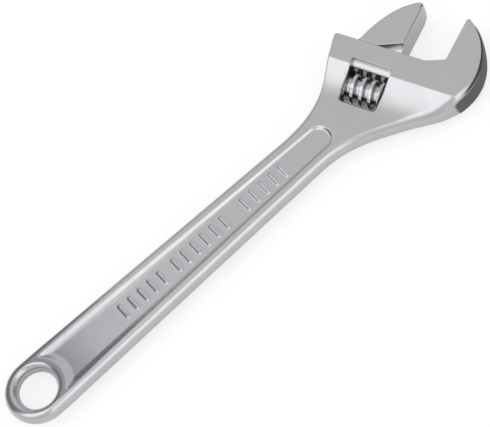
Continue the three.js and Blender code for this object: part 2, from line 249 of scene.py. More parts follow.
def depth_inside(points, loop):
    """Distance of each point from the closed curve: positive inside it and negative outside."""
    start = loop
    edge = np.roll(loop, -1, axis=0) - loop
    edge_squared = (edge ** 2).sum(1)
    depths = []
    for batch in np.array_split(points, max(1, len(points) * len(loop) // 2_000_000)):
        offset_x = batch[:, 0, None] - start[:, 0]
        offset_y = batch[:, 1, None] - start[:, 1]
        share = np.clip((offset_x * edge[:, 0] + offset_y * edge[:, 1]) / edge_squared, 0, 1)
        gap = (offset_x - share * edge[:, 0]) ** 2 + (offset_y - share * edge[:, 1]) ** 2
        side = offset_y * edge[:, 0] - offset_x * edge[:, 1]
        upward = (offset_y >= 0) & (offset_y < edge[:, 1])
        downward = (offset_y < 0) & (offset_y >= edge[:, 1])
        winding = (upward & (side > 0)).sum(1) - (downward & (side < 0)).sum(1)
        depths.append(np.sqrt(gap.min(1)) * np.where(winding != 0, 1, -1))
    return np.concatenate(depths)


def smoothstep(value, low, high):
    """0 up to low, 1 from high on, and a soft step between them."""
    t = np.clip((value - low) / (high - low), 0, 1)
    return t * t * (3 - 2 * t)


# ---------------------------------------------------------------- meshes


def in_head(points):
    """Points in the CAD's frame for head-frame points whose z is from the middle plane."""
    points = np.asarray(points, float)
    flat = WORM_CENTRE + points[:, :1] * CLOSING + points[:, 1:2] * POINTING
    return np.column_stack([flat, points[:, 2] + MID_Z])


def mesh_object(name, points, faces):
    mesh = bpy.data.meshes.new(name)
    mesh.from_pydata((np.asarray(points) * MM).tolist(), [], faces)
    mesh.validate()
    mesh.update()
    made = bpy.data.objects.new(name, mesh)
    bpy.context.scene.collection.objects.link(made)
    return made


def grid_faces(rows, columns, wrap_rows=False, wrap_columns=True):
    """Quads of a grid whose vertices are numbered along its rows."""
    last_row = rows if wrap_rows else rows - 1
    last_column = columns if wrap_columns else columns - 1
    faces = []
    for i in range(last_row):
        here, after = i * columns, (i + 1) % rows * columns
        for j in range(last_column):
            k = (j + 1) % columns
            faces.append((here + j, after + j, after + k, here + k))
    return faces


def closed_tube(name, rows, first_tip, last_tip):
    """A closed mesh of rings of head-frame points, with a fan from each end ring to its tip."""
    segments = len(rows[0])
    points = np.vstack(rows + [[first_tip], [last_tip]])
    faces = grid_faces(len(rows), segments)
    first_place, last_place = len(points) - 2, len(points) - 1
    last_row = (len(rows) - 1) * segments
    for j in range(segments):
        k = (j + 1) % segments
        faces.append((first_place, j, k))
        faces.append((last_place, last_row + k, last_row + j))
    return mesh_object(name, in_head(points), faces)


def combine(target, tool, operation):
    """A boolean of two closed meshes, applied to the target. The tool is used up."""
    modifier = target.modifiers.new(operation, "BOOLEAN")
    modifier.operation = operation
    modifier.solver = "EXACT"
    modifier.object = tool
    evaluated = target.evaluated_get(bpy.context.evaluated_depsgraph_get())
    result = bpy.data.meshes.new_from_object(evaluated)
    target.modifiers.clear()
    target.data = result
    bpy.data.objects.remove(tool)
    return target


def smooth_shade(piece, sharp_degrees=32):
    piece.data.shade_smooth()
    piece.data.set_sharp_from_angle(angle=math.radians(sharp_degrees))
    return piece


def block(low, high):
    """A closed box between two head-frame corners, as a tool for combine."""
    corners = [(x, y, z) for x in (low[0], high[0]) for y in (low[1], high[1]) for z in (low[2], high[2])]
    sides = [(0, 1, 3, 2), (4, 6, 7, 5), (0, 4, 5, 1), (2, 3, 7, 6), (0, 2, 6, 4), (1, 5, 7, 3)]
    return mesh_object("tool_block", in_head(corners), sides)


def turned(name, profile, y=0, segments=96):
    """A closed round body along the head's x, from a profile of (x, radius) that starts and ends on
    the axis."""
    angle = np.linspace(0, 2 * math.pi, segments, endpoint=False)
    rows = [np.column_stack([np.full(segments, x), y + r * np.cos(angle), r * np.sin(angle)])
            for x, r in profile[1:-1]]
    return closed_tube(name, rows, (profile[0][0], y, 0), (profile[-1][0], y, 0))


# The heights of a side wall's rows of vertices, as shares of the plate's half height.
WALL_LEVELS = (0.8, 0.6, 0.4, 0.2, 0, -0.2, -0.4, -0.6, -0.8)


class Border:
    """An edge of a forged plate: a closed curve, the edge's width and drop, and its side wall's crown."""

    def __init__(self, loop, width, drop, crown, is_hole=False):
        normals = left_normals(loop)
        self.inward = -normals if is_hole else normals
        self.crown = crown(loop)
        self.loop = loop + self.inward * self.crown[:, None]
        self.width = width
        self.drop = drop
        self.is_hole = is_hole

    def depth(self, points):
        """How far each point is into the material."""
        inside = depth_inside(points, self.loop)
        return -inside if self.is_hole else inside

    def rings(self, steps=9, support=0.25):
        """Lines of points across the rounded edge, and one just past it."""
        width = self.width(self.loop)
        angles = np.linspace(0, math.pi / 2, steps + 1)[1:]
        depths = [width * (1 - math.cos(angle)) for angle in angles] + [width + support]
        return [(self.loop + self.inward * depth[:, None], depth) for depth in depths]


def edge_drop(depth, width, drop):
    """How far a rounded edge lies below the face, at each depth into the material."""
    t = EDGE_ARC * np.clip(1 - depth / width, 0, 1)
    return drop * (1 - np.sqrt(1 - t ** 2)) / (1 - math.sqrt(1 - EDGE_ARC ** 2))


# A ring's point is kept when it has at least this share of its ring's depth inside its own border, and
# is at least this far inside the others. A cloud's point is kept this far past each rounded edge.
RING_DEPTH_SHARE = 0.985
RING_GAP = 0.25
CLOUD_GAP = 0.45


def surface_points(borders, clouds):
    """The boundary loops, then the points of the rounded edges and of the clouds that are on material."""
    kept = [border.loop for border in borders]
    candidates, own_depths, owners = [], [], []
    for index, border in enumerate(borders):
        for points, depth in border.rings():
            candidates.append(points)
            own_depths.append(depth)
            owners.append(np.full(len(points), index))
    for cloud in clouds:
        candidates.append(cloud)
        own_depths.append(np.zeros(len(cloud)))
        owners.append(np.full(len(cloud), -1))
    points = np.vstack(candidates)
    own_depth = np.concatenate(own_depths)
    owner = np.concatenate(owners)
    good = np.ones(len(points), bool)
    for index, border in enumerate(borders):
        depth = border.depth(points)
        past_edge = border.width(points) + CLOUD_GAP
        others = np.where(owner == -1, past_edge, RING_GAP)
        needed = np.where(owner == index, own_depth * RING_DEPTH_SHARE, others)
        good &= depth >= needed
    return np.vstack(kept + [points[good]])


def triangulated(borders, points):
    """The plate's flat vertices, its triangles, and the vertices of each border in order."""
    edges, first = [], 0
    for border in borders:
        count = len(border.loop)
        edges += [(first + i, first + (i + 1) % count) for i in range(count)]
        first += count
    flat, _, triangles, origins, _, _ = delaunay_2d_cdt(
        [Vector(point) for point in points], edges, [], 0, 1e-6, True)
    flat = np.array([tuple(point) for point in flat])
    triangles = np.array(triangles)
    place_of = {source: new for new, sources in enumerate(origins) for source in sources}
    boundary = np.array([place_of[i] for i in range(first)])

    on_boundary = np.zeros(len(flat), bool)
    on_boundary[boundary] = True
    doubtful = on_boundary[triangles].all(1)
    centres = flat[triangles[doubtful]].mean(1)
    outside = np.zeros(len(centres), bool)
    for border in borders:
        outside |= border.depth(centres) < 0
    keep = np.ones(len(triangles), bool)
    keep[np.flatnonzero(doubtful)[outside]] = False
    ends = np.cumsum([len(border.loop) for border in borders])[:-1]
    return flat, triangles[keep], np.split(boundary, ends)


def face_height(borders, rings, flat, half_height):
    """How far the faces are from the middle plane, with the whole of an edge's drop at its border."""
    drop = np.zeros(len(flat))
    for border in borders:
        depth = np.maximum(border.depth(flat), 0)
        drop = np.maximum(drop, edge_drop(depth, border.width(flat), border.drop(flat)))
    for border, ring in zip(borders, rings):
        drop[ring] = border.drop(flat[ring])
    return half_height(flat) - drop


def side_wall(border, ring, height, under, first):
    """The crowned wall between a border's ring above and its ring below, which is numbered on from it
    by under. The wall's own vertices are numbered from first."""
    size = len(ring)
    rows, vertices = [ring], []
    for level in WALL_LEVELS:
        bulge = (border.crown * (1 - level ** 2))[:, None]
        edge = border.loop - border.inward * bulge
        vertices.append(np.column_stack([edge, MID_Z + level * height]))
        rows.append(np.arange(first, first + size))
        first += size
    rows.append(ring + under)
    quads = []
    for upper, lower in zip(rows, rows[1:]):
        for i in range(size):
            k = (i + 1) % size
            quad = (int(upper[i]), int(lower[i]), int(lower[k]), int(upper[k]))
            quads.append(quad[::-1] if border.is_hole else quad)
    return np.vstack(vertices), quads


def forged_plate(name, borders, clouds, half_height):
    """A plate with the same face above and below the middle plane, rounded edges and crowned sides."""
    flat, triangles, rings = triangulated(borders, surface_points(borders, clouds))
    height = face_height(borders, rings, flat, half_height)
    count = len(flat)
    vertices = np.vstack([np.column_stack([flat, MID_Z + height]), np.column_stack([flat, MID_Z - height])])
    faces = triangles.tolist() + (triangles[:, ::-1] + count).tolist()
    for border, ring in zip(borders, rings):
        wall, quads = side_wall(border, ring, height[ring], count, len(vertices))
        vertices = np.vstack([vertices, wall])
        faces += quads
    return mesh_object(name, vertices, faces)


# ---------------------------------------------------------------- wrench body


def handle_edge(x, taper):
    """Half of the handle's width at x, on the side with this taper."""
    return END_RADIUS / math.cos(taper) - x * math.tan(taper)


def body_outline():
    waist = handle_edge(WAIST_X, FRONT_TAPER)
    back_waist = handle_edge(BACK_WAIST_X, BACK_TAPER)
    quarter = math.pi / 2
    fixed_tip = head(FIXED_FACE_X + 0.8, FIXED_TIP_Y)
    tip_corner = head(FIXED_FACE_X, FIXED_TIP_Y - 1.2)
    ramp_end = head(FIXED_FACE_X, TOP_EDGE_Y + RAMP_RISE)
    throat = head(THROAT_X, TOP_EDGE_Y)
    corner_in = head(-25, TOP_EDGE_Y)
    corner = head(-27, TOP_EDGE_Y)
    return closed_curve(
        curve(plan(WAIST_X, -waist), plan(193, -11.9), plan(204, -16.2), plan(221.5, -25.8)),
        curve(plan(221.5, -25.8), plan(236.5, -34.1), plan(238, -38.1), plan(254, -38.1)),
        curve(plan(254, -38.1), plan(271, -38.1), plan(286.4, -22.5), fixed_tip),
        curve(fixed_tip, tip_corner),
        curve(tip_corner, ramp_end),
        curve(ramp_end, throat),
        curve(throat, corner_in),
        curve(corner_in, corner, plan(230.5, 37)),
        curve(plan(230.5, 37), plan(214.6, 25.9)),
        curve(plan(214.6, 25.9), plan(203, 17.2), plan(189, 12.8), plan(BACK_WAIST_X, back_waist)),
        arc(HOLE_CENTRE, (END_RADIUS, END_RADIUS), quarter - BACK_TAPER, 3 * quarter + FRONT_TAPER),
    )


def panel_outline():
    spread = math.asin((PANEL_HALF_WIDTH - 1) / PANEL_RING_RADIUS)
    horn_x, horn_y = PANEL_RING_RADIUS * math.cos(spread), PANEL_RING_RADIUS * math.sin(spread)
    straight = horn_x + 3
    nose = PANEL_END_X - PANEL_NOSE_RADIUS

    def edge(x):
        return PANEL_HALF_WIDTH - x * math.tan(PANEL_TAPER)

    return closed_curve(
        curve(plan(horn_x, -horn_y), plan(horn_x + 0.5, -edge(horn_x)), plan(straight, -edge(straight))),
        curve(plan(straight, -edge(straight)), plan(nose, -edge(nose))),
        arc(plan(nose, 0), (PANEL_NOSE_RADIUS, edge(nose)), -math.pi / 2, math.pi / 2),
        curve(plan(nose, edge(nose)), plan(straight, edge(straight))),
        curve(plan(straight, edge(straight)), plan(horn_x + 0.5, edge(horn_x)), plan(horn_x, horn_y)),
        arc(HOLE_CENTRE, (PANEL_RING_RADIUS, PANEL_RING_RADIUS), spread, -spread),
    )


def window_outline():
    left, right, bottom, c = WINDOW_BOTTOM_LEFT_X, WINDOW_RIGHT_X, WINDOW_BOTTOM_Y, WINDOW_CORNER
    return closed_curve(
        curve(head(WINDOW_TOP_LEFT_X, WINDOW_TOP_Y), head(left, bottom + c)),
        curve(head(left, bottom + c), head(left, bottom), head(left + c, bottom)),
        curve(head(left + c, bottom), head(right - c, bottom)),
        curve(head(right - c, bottom), head(right, bottom), head(right, bottom + c)),
        curve(head(right, bottom + c), head(right, WINDOW_TOP_Y)),
        curve(head(right, WINDOW_TOP_Y), head(WINDOW_TOP_LEFT_X, WINDOW_TOP_Y)),
        softness=0.3, step=0.6,
    )


def machined_share(points, reach):
    """1 along the head's top edge and the fixed jaw's gripping face, and 0 elsewhere."""
    x, y = head_coordinates(points)
    top = smoothstep(y, TOP_EDGE_Y - 2 - reach, TOP_EDGE_Y - reach)
    on_top = top * (1 - smoothstep(x, THROAT_X + 10, THROAT_X + 12))
    face = smoothstep(y, TOP_EDGE_Y - 1 - reach, TOP_EDGE_Y + 1 - reach)
    on_face = face * (1 - smoothstep(x, FIXED_FACE_X + 1, FIXED_FACE_X + 2 + reach))
    return np.maximum(on_top, on_face)


def body_edge_width(points):
    """Wide on the handle and the head's outer corner, narrow up to the jaw's tip and at the head's back."""
    x, y = head_coordinates(points)
    outer = np.interp(y, OUTER_EDGE_Y, OUTER_EDGE)
    back = HEAD_EDGE + (HANDLE_EDGE - HEAD_EDGE) * (1 - smoothstep(y, -26, 0))
    forged = back + (outer - back) * smoothstep(x, 4, 18)
    near_hole = 1 - smoothstep(points[:, 0] - HOLE_CENTRE[0], -8, 14)
    forged = forged + (HOLE_END_EDGE - HANDLE_EDGE) * near_hole
    return forged + (MACHINED_EDGE - forged) * machined_share(points, 1)


def body_edge_drop(points):
    width = body_edge_width(points)
    flattening = (1 - HANDLE_EDGE_DROP / HANDLE_EDGE) * smoothstep(width, 0.6, HANDLE_EDGE)
    return width * (1 - flattening)


def body_crown(points):
    _, y = head_coordinates(points)
    crown = HEAD_CROWN + (HANDLE_CROWN - HEAD_CROWN) * (1 - smoothstep(y, -26, 6))
    return crown * (1 - machined_share(points, 2))


def constant(value):
    """A function that is the same at every point."""
    return lambda points: np.full(len(points), float(value))


def rib_centres():
    """The ribs' x in the plan frame."""
    return [first + i * RIB_PITCH for first, count in RIB_GROUPS for i in range(count)]


def rib_height(points):
    """Raised bars with soft shoulders that cross the panel."""
    offset = points - HOLE_CENTRE
    height = np.zeros(len(points))
    reach = (RIB_LENGTH - RIB_WIDTH) / 2
    for x in rib_centres():
        past_end = np.maximum(np.abs(offset[:, 1]) - reach, 0)
        distance = np.hypot(offset[:, 0] - x, past_end)
        edge = smoothstep(distance, RIB_WIDTH / 2 + 0.4 - RIB_SHOULDER, RIB_WIDTH / 2 + 0.4)
        height = np.maximum(height, RIB_HEIGHT * (1 - edge))
    return height


def along_panel(points):
    """0 at the panel's hang hole end and 1 at its nose."""
    from_ring = points[:, 0] - HOLE_CENTRE[0] - PANEL_RING_RADIUS
    return np.clip(from_ring / (PANEL_END_X - PANEL_RING_RADIUS), 0, 1)


def panel_drop(points, panel):
    """The recess, whose wall is steep at its top and runs out in a long soft foot."""
    share = along_panel(points)
    depth = PANEL_DEPTH_AT_HOLE + (PANEL_DEPTH_AT_NOSE - PANEL_DEPTH_AT_HOLE) * share
    wall = PANEL_WALL_AT_HOLE + (PANEL_WALL_AT_NOSE - PANEL_WALL_AT_HOLE) * share
    t = np.clip((depth_inside(points, panel) + PANEL_WALL_OUTSIDE) / wall, 0, 1)
    return depth * (1 - (1 - t) ** 4 * (1 + 4 * t))


def body_half_height(panel):
    slope = 2 * math.atan((HEAD_HALF - HANDLE_HALF) / SCOOP_LENGTH)
    scoop_radius = SCOOP_LENGTH / math.sin(slope)

    def half_height(points):
        _, y = head_coordinates(points)
        up = np.clip(y - (CREASE_Y - SCOOP_LENGTH), 0, scoop_radius)
        scoop = HANDLE_HALF + scoop_radius - np.sqrt(scoop_radius ** 2 - up ** 2)
        overlap = np.clip(CREASE_BLEND - np.abs(scoop - HEAD_HALF), 0, None)
        height = np.minimum(scoop, HEAD_HALF) - overlap ** 2 / (4 * CREASE_BLEND)
        thin_from = TOP_EDGE_Y + RAMP_RISE
        height = height - JAW_THINNING * np.clip((y - thin_from) / (FIXED_TIP_Y + 1 - thin_from), 0, 1)
        return height - panel_drop(points, panel) + rib_height(points)

    return half_height


def grid(x_values, y_values, place):
    """Points in the CAD's frame of a grid in the plan frame or the head frame."""
    x, y = np.meshgrid(x_values, y_values)
    return np.array([place(a, b) for a, b in zip(x.ravel(), y.ravel())])


def body_clouds(panel):
    """Points over the faces: coarse where they are flat, fine at the panel's wall, ribs and crease."""
    wall_steps = np.arange(-1.0, 5.2, 0.27)
    inward = left_normals(panel)
    wall = np.vstack([panel + inward * step for step in wall_steps])
    wall_depth = np.concatenate([np.full(len(panel), step) for step in wall_steps])
    wall = wall[np.abs(depth_inside(wall, panel) - wall_depth) < 0.02 + 0.02 * np.abs(wall_depth)]

    handle = grid(np.arange(-17, 212, 1.7), np.arange(-22, 30, 1.7), plan)
    _, handle_y = head_coordinates(handle)
    panel_depth = depth_inside(handle, panel)
    near_rib = rib_zone(handle)
    handle = handle[((panel_depth < -1.3) | (panel_depth > 5.4)) & ~near_rib & (handle_y < -17)]

    half_x, half_y, fine = RIB_WIDTH / 2 + 0.6, RIB_LENGTH / 2 + 0.6, 0.3
    ribs = [grid(np.arange(x - half_x, x + half_x, fine), np.arange(-half_y, half_y, fine), plan)
            for x in rib_centres()]

    scoop = grid(np.arange(-32, 48, 1.1), np.arange(-16.5, CREASE_Y - 1.3, 1.0), head)
    scoop_depth = depth_inside(scoop, panel)
    scoop = scoop[(scoop_depth < -1.3) | (scoop_depth > 5.4)]
    crease = grid(np.arange(-32, 48, 0.8), CREASE_Y + np.arange(-1.2, 1.3, 0.2), head)
    face = grid(np.arange(-32, 48, 1.6), np.arange(CREASE_Y + 1.8, 58, 1.6), head)
    return [wall, handle, scoop, crease, face] + ribs


def rib_zone(points):
    """Whether each point is on a rib or just beside one."""
    offset = points - HOLE_CENTRE
    across = np.abs(offset[:, 1]) < RIB_LENGTH / 2 + 0.9
    near = np.zeros(len(points), bool)
    for x in rib_centres():
        near |= across & (np.abs(offset[:, 0] - x) < RIB_WIDTH / 2 + 0.9)
    return near


def neck_slot():
    half = NECK_HALF + SLIDING_GAP
    return block((-FAR, RAIL_Y, -half), (FIXED_FACE_X + 0.4, BLADE_BASE_Y + BEVEL_RISE, half))


def rail_bore():
    radius, end = RAIL_RADIUS + SLIDING_GAP, RAIL_BORE_END_X
    return turned("tool_bore", [(-FAR, 0), (-FAR, radius), (end, radius), (end, 0)], y=RAIL_Y)


def pin_bore():
    """The pin's bore, and its counterbore for the head, from the head's left side."""
    radius, head_radius = PIN_RADIUS + SLIDING_GAP, PIN_HEAD_RADIUS + SLIDING_GAP
    seat = PIN_LEFT_X + PIN_HEAD_LENGTH + SLIDING_GAP
    end = PIN_RIGHT_X + 0.5
    profile = [(-FAR, 0), (-FAR, head_radius), (seat, head_radius), (seat, radius), (end, radius), (end, 0)]
    return turned("tool_pin", profile, segments=64)


def make_body():
    panel = panel_outline()
    hole = arc(HOLE_CENTRE, (HANG_HOLE_RADIUS, HANG_HOLE_RADIUS), 0, 2 * math.pi)[:-1]
    borders = [
        Border(body_outline(), body_edge_width, body_edge_drop, body_crown),
        Border(resample(hole, OUTLINE_STEP), constant(HANG_HOLE_LIP), constant(HANG_HOLE_LIP_DROP),
               constant(HANG_HOLE_CROWN), True),
        Border(window_outline(), constant(MACHINED_EDGE), constant(MACHINED_EDGE), constant(0), True),
    ]
    body = forged_plate("body_forging", borders, body_clouds(panel), body_half_height(panel))
    for tool in (neck_slot(), rail_bore(), pin_bore()):
        combine(body, tool, "DIFFERENCE")
    return smooth_shade(body)


# ---------------------------------------------------------------- movable jaw


def blade_outline():
    face, top = MOVABLE_FACE_X, BLADE_TOP_Y
    back_foot = head(BLADE_BACK_X, BLADE_BASE_Y)
    bevel_start = head(BEVEL_START_X, BLADE_BASE_Y)
    bevel_end = head(face, BLADE_BASE_Y + BEVEL_RISE)
    corner_start, corner_end = head(face, top - 1.6), head(face - 2.4, top - 0.1)
    return closed_curve(
        curve(back_foot, bevel_start),
        curve(bevel_start, bevel_end),
        curve(bevel_end, corner_start),
        curve(corner_start, head(face, top + 0.2), corner_end),
        curve(corner_end, head(-2.8, 50.5), head(-10.4, 37.6), back_foot),
        softness=0.35,
    )


def blade_base(points, reach):
    """1 along the blade's lower edge and its bevel, and 0 further up."""
    x, y = head_coordinates(points)
    rise = np.clip(x - BEVEL_START_X, 0, None) * 0.45
    return 1 - smoothstep(y - rise, BLADE_BASE_Y + 0.6, BLADE_BASE_Y + reach)


def blade_edge(points):
    x, y = head_coordinates(points)
    face = smoothstep(x, MOVABLE_FACE_X - 1.2, MOVABLE_FACE_X - 0.4) * (1 - smoothstep(y, 50, 53))
    machined = np.maximum(face, blade_base(points, 1.4))
    return BLADE_EDGE + (MACHINED_EDGE - BLADE_EDGE) * machined


def blade_crown(points):
    x, y = head_coordinates(points)
    face = smoothstep(x, MOVABLE_FACE_X - 3, MOVABLE_FACE_X - 1) * (1 - smoothstep(y, 50, 53))
    return HEAD_CROWN * (1 - np.maximum(face, blade_base(points, 2)))


def blade_half_height(points):
    _, y = head_coordinates(points)
    thin_from = BLADE_BASE_Y + BEVEL_RISE
    share = np.clip((y - thin_from) / (BLADE_TOP_Y + 1 - thin_from), 0, 1)
    return BLADE_HALF - BLADE_THINNING * share


def smoothed_profile(distance, starts, values, rounding):
    """A profile of straight stretches with its corners rounded, read at a distance from its middle."""
    shifts = np.linspace(-rounding, rounding, 9)
    return sum(np.interp(np.abs(distance + shift), starts, values) for shift in shifts) / len(shifts)


def from_nearest(x, phase):
    """Signed distance along x from the nearest of the points that are a pitch apart."""
    return (x - phase + THREAD_PITCH / 2) % THREAD_PITCH - THREAD_PITCH / 2


def rail():
    """The jaw's round rail, with a rack across its lower side that the worm's thread runs in."""
    segments, step, end_round = 144, 0.14, 0.6
    angle = np.linspace(0, 2 * math.pi, segments, endpoint=False)
    columns = np.linspace(RAIL_LEFT_X, RAIL_RIGHT_X, int((RAIL_RIGHT_X - RAIL_LEFT_X) / step))
    deep, wide, narrow = RACK_DEPTH, RACK_GROOVE_MOUTH / 2, RACK_GROOVE_FLOOR / 2
    outward = (wide - narrow) / deep
    rows = []
    for x in columns:
        from_end = min(x - RAIL_LEFT_X, RAIL_RIGHT_X - x)
        radius = RAIL_RADIUS - edge_drop(np.array([from_end]), end_round, end_round)[0]
        y, z = radius * np.cos(angle), radius * np.sin(angle)
        at_groove = from_nearest(x - z * LEAD_SLOPE, THREAD_PHASE_X)
        floor = smoothed_profile(at_groove, [narrow, wide + outward],
                                 [-RAIL_RADIUS + deep, -RAIL_RADIUS - 1], THREAD_ROUNDING)
        lowest = np.where(y < 0, floor, -RAIL_RADIUS)
        rows.append(np.column_stack([np.full(segments, x), RAIL_Y + np.maximum(y, lowest), z]))
    return closed_tube("tool_rail", rows, (RAIL_LEFT_X, RAIL_Y, 0), (RAIL_RIGHT_X, RAIL_Y, 0))


def make_jaw():
    borders = [Border(blade_outline(), blade_edge, blade_edge, blade_crown)]
    cloud = grid(np.arange(-15, 10, 1.4), np.arange(BLADE_BASE_Y, BLADE_TOP_Y, 1.4), head)
    jaw = forged_plate("jaw_forging", borders, [cloud], blade_half_height)
    neck = block((BLADE_BACK_X + 0.6, RAIL_Y, -NECK_HALF),
                 (MOVABLE_FACE_X - 0.05, BLADE_BASE_Y + BEVEL_RISE + 1, NECK_HALF))
    combine(jaw, neck, "UNION")
    combine(jaw, rail(), "UNION")
    return smooth_shade(jaw)


# ---------------------------------------------------------------- adjusting worm


def make_worm():
    """The knurl: a threaded drum with rounded crests, a bore and a pocket for its spring."""
    segments, step, end_round = 160, 0.12, 0.35
    angle = np.linspace(0, 2 * math.pi, segments, endpoint=False)
    columns = np.linspace(WORM_LEFT_X, WORM_RIGHT_X, int((WORM_RIGHT_X - WORM_LEFT_X) / step))
    rows = []
    for x in columns:
        from_crest = from_nearest(x - THREAD_PITCH * angle / (2 * math.pi), THREAD_PHASE_X)
        radius = smoothed_profile(from_crest, [THREAD_CREST / 2, THREAD_BASE / 2],
                                  [WORM_RADIUS, WORM_ROOT_RADIUS], THREAD_ROUNDING)
        from_end = np.array([min(x - WORM_LEFT_X, WORM_RIGHT_X - x)])
        radius = radius - edge_drop(from_end, end_round, end_round)
        rows.append((np.full(segments, x), radius))
    bore, chamfer = PIN_RADIUS + SLIDING_GAP, 0.35
    pocket_end = WORM_LEFT_X + SPRING_POCKET_DEPTH
    inside = [(WORM_RIGHT_X, bore + chamfer), (WORM_RIGHT_X - chamfer, bore), (pocket_end, bore),
              (pocket_end, SPRING_POCKET_RADIUS), (WORM_LEFT_X + chamfer, SPRING_POCKET_RADIUS),
              (WORM_LEFT_X, SPRING_POCKET_RADIUS + chamfer)]
    rows += [(np.full(segments, x), np.full(segments, radius)) for x, radius in inside]
    points = np.vstack([np.column_stack([x, r * np.cos(angle), r * np.sin(angle)]) for x, r in rows])
    worm = mesh_object("worm_knurl", in_head(points), grid_faces(len(rows), segments, wrap_rows=True))
    return smooth_shade(worm, 40)


# ---------------------------------------------------------------- pin and spring


def make_pin():
    """A slotted pin with a chamfered point and a fine thread behind its head."""
    segments = 48
    angle = np.linspace(0, 2 * math.pi, segments, endpoint=False)
    neck = PIN_LEFT_X + PIN_HEAD_LENGTH
    chamfer, tip_chamfer, finest = 0.3, 0.8, 0.1
    threaded = np.arange(neck, PIN_THREAD_END_X, finest)
    profile = [(PIN_LEFT_X, PIN_HEAD_RADIUS - chamfer), (PIN_LEFT_X + chamfer, PIN_HEAD_RADIUS),
               (neck - chamfer, PIN_HEAD_RADIUS), (neck, PIN_HEAD_RADIUS - chamfer)]
    profile += [(x, PIN_RADIUS) for x in threaded]
    profile += [(PIN_RIGHT_X - tip_chamfer, PIN_RADIUS), (PIN_RIGHT_X, PIN_RADIUS - tip_chamfer)]
    rows = []
    for x, radius in profile:
        turn = (x / PIN_THREAD_PITCH - angle / (2 * math.pi)) % 1
        is_threaded = radius == PIN_RADIUS and x < PIN_THREAD_END_X
        r = radius - is_threaded * PIN_THREAD_DEPTH * (1 - np.abs(2 * turn - 1))
        rows.append(np.column_stack([np.full(segments, x), r * np.cos(angle), r * np.sin(angle)]))
    pin = closed_tube("slotted_pin", rows, (PIN_LEFT_X, 0, 0), (PIN_RIGHT_X, 0, 0))
    half = PIN_SLOT_WIDTH / 2
    slot = block((PIN_LEFT_X - 1, -FAR, -half), (PIN_LEFT_X + PIN_SLOT_DEPTH, FAR, half))
    combine(pin, slot, "DIFFERENCE")
    return smooth_shade(pin)


def make_spring():
    """A small compression spring whose end turns lie flat."""
    left = WORM_LEFT_X - 0.6 + SPRING_WIRE_RADIUS
    right = WORM_LEFT_X + SPRING_POCKET_DEPTH - SLIDING_GAP - SPRING_WIRE_RADIUS
    steps, around = int(SPRING_TURNS * 48), 12
    turn = np.linspace(0, SPRING_TURNS, steps)
    open_turns = SPRING_TURNS - 1.2
    rise = smoothstep(turn, 0.15, 0.9) * 0.22
    rise += (turn - 0.6).clip(0, open_turns) / open_turns * 0.56
    rise += smoothstep(turn, SPRING_TURNS - 0.9, SPRING_TURNS - 0.15) * 0.22
    x = left + (right - left) * rise
    section = np.linspace(0, 2 * math.pi, around, endpoint=False)
    rows = []
    for centre, phase in zip(x, 2 * math.pi * turn):
        radius = SPRING_COIL_RADIUS + SPRING_WIRE_RADIUS * np.cos(section)
        rows.append(np.column_stack([centre + SPRING_WIRE_RADIUS * np.sin(section),
                                     radius * math.cos(phase), radius * math.sin(phase)]))
    points = np.vstack(rows)
    faces = grid_faces(steps, around)
    faces.append(tuple(range(around)))
    faces.append(tuple(reversed(range((steps - 1) * around, steps * around))))
    return smooth_shade(mesh_object("coil_spring", in_head(points), faces), 50)


# ---------------------------------------------------------------- surface attributes


def vertex_places(piece):
    """The piece's vertices in the CAD's frame, in millimetres."""
    places = np.zeros(len(piece.data.vertices) * 3)
    piece.data.vertices.foreach_get("co", places)
    return places.reshape(-1, 3) / MM


def store_attribute(piece, name, values):
    attribute = piece.data.attributes.new(name, "FLOAT", "POINT")
    attribute.data.foreach_set("value", np.clip(values, 0, 1).astype(np.float32))


def paint_window_shade(body):
    """Painted shade: the walls inside the worm's window are darkened below the rail, more so away from the
    faces.
    """
    places = vertex_places(body)
    from_edge = np.abs(depth_inside(places[:, :2], window_outline()))
    _, y = head_coordinates(places[:, :2])
    below = HEAD_HALF - np.abs(places[:, 2] - MID_Z)
    store_attribute(body, "painted_shade", 0.9 * (from_edge < 0.7) * (y < RAIL_Y - 4) * smoothstep(below, 0.6, 3))


def paint_valley_shade(worm):
    """Painted shade, faint, in the thread's valleys, fading out towards the crests."""
    places = vertex_places(worm)
    _, y = head_coordinates(places[:, :2])
    radius = np.hypot(y, places[:, 2] - MID_Z)
    store_attribute(worm, "painted_shade", 0.12 * (1 - smoothstep(radius, WORM_ROOT_RADIUS, WORM_RADIUS - 1.2)))


def paint_groove_shade(jaw):
    """Painted shade on the floors of the rack's grooves."""
    places = vertex_places(jaw)
    _, y = head_coordinates(places[:, :2])
    floor = RAIL_Y - RAIL_RADIUS + RACK_DEPTH
    in_groove = (y < floor + 0.4) & (y > RAIL_Y - RAIL_RADIUS)
    store_attribute(jaw, "painted_shade", in_groove * smoothstep(y, floor - 1.6, floor - 0.2))


# ---------------------------------------------------------------- materials


